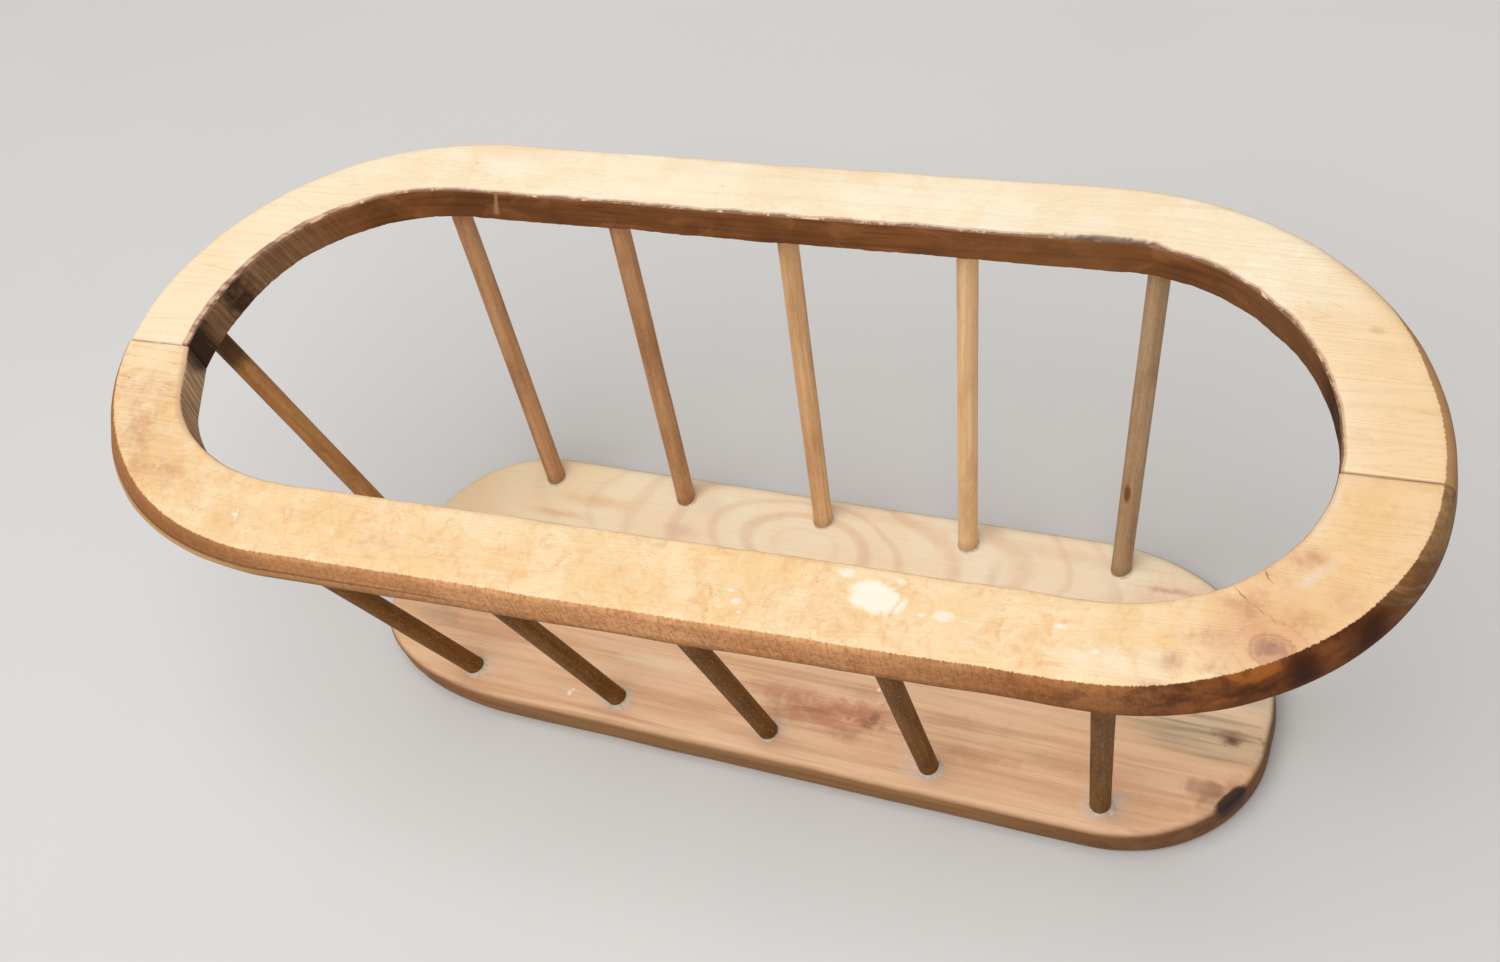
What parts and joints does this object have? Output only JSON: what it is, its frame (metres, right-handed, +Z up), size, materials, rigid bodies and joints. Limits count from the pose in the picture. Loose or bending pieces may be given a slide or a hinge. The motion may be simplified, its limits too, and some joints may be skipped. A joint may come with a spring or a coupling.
{
  "type": "yarn basket",
  "caption": "Open oval basket for yarn: rounded base board, splayed round dowels and a level oval rim made of two U-shaped halves.",
  "frame": {"origin": "on the floor under the base board, on the middle line between its long edges and 1.5 mm right of the middle of its length", "axes": "+X along the basket's length towards its right end, +Y towards its back, +Z up out of the open top"},
  "size_m": [0.4718, 0.201, 0.181],
  "materials": {
    "rim_wood": "satin",
    "base_wood": "satin",
    "dowel_wood": "matte"
  },
  "bodies": {
    "root": {"base_board": "base_wood", "rim_front_half": "rim_wood", "rim_back_half": "rim_wood", "dowel_front_1": "dowel_wood", "dowel_front_2": "dowel_wood", "dowel_front_3": "dowel_wood", "dowel_front_4": "dowel_wood", "dowel_front_5": "dowel_wood", "dowel_back_1": "dowel_wood", "dowel_back_2": "dowel_wood", "dowel_back_3": "dowel_wood", "dowel_back_4": "dowel_wood", "dowel_back_5": "dowel_wood", "dowel_left_end": "dowel_wood", "dowel_right_end": "dowel_wood"}
  },
  "joints": []
}
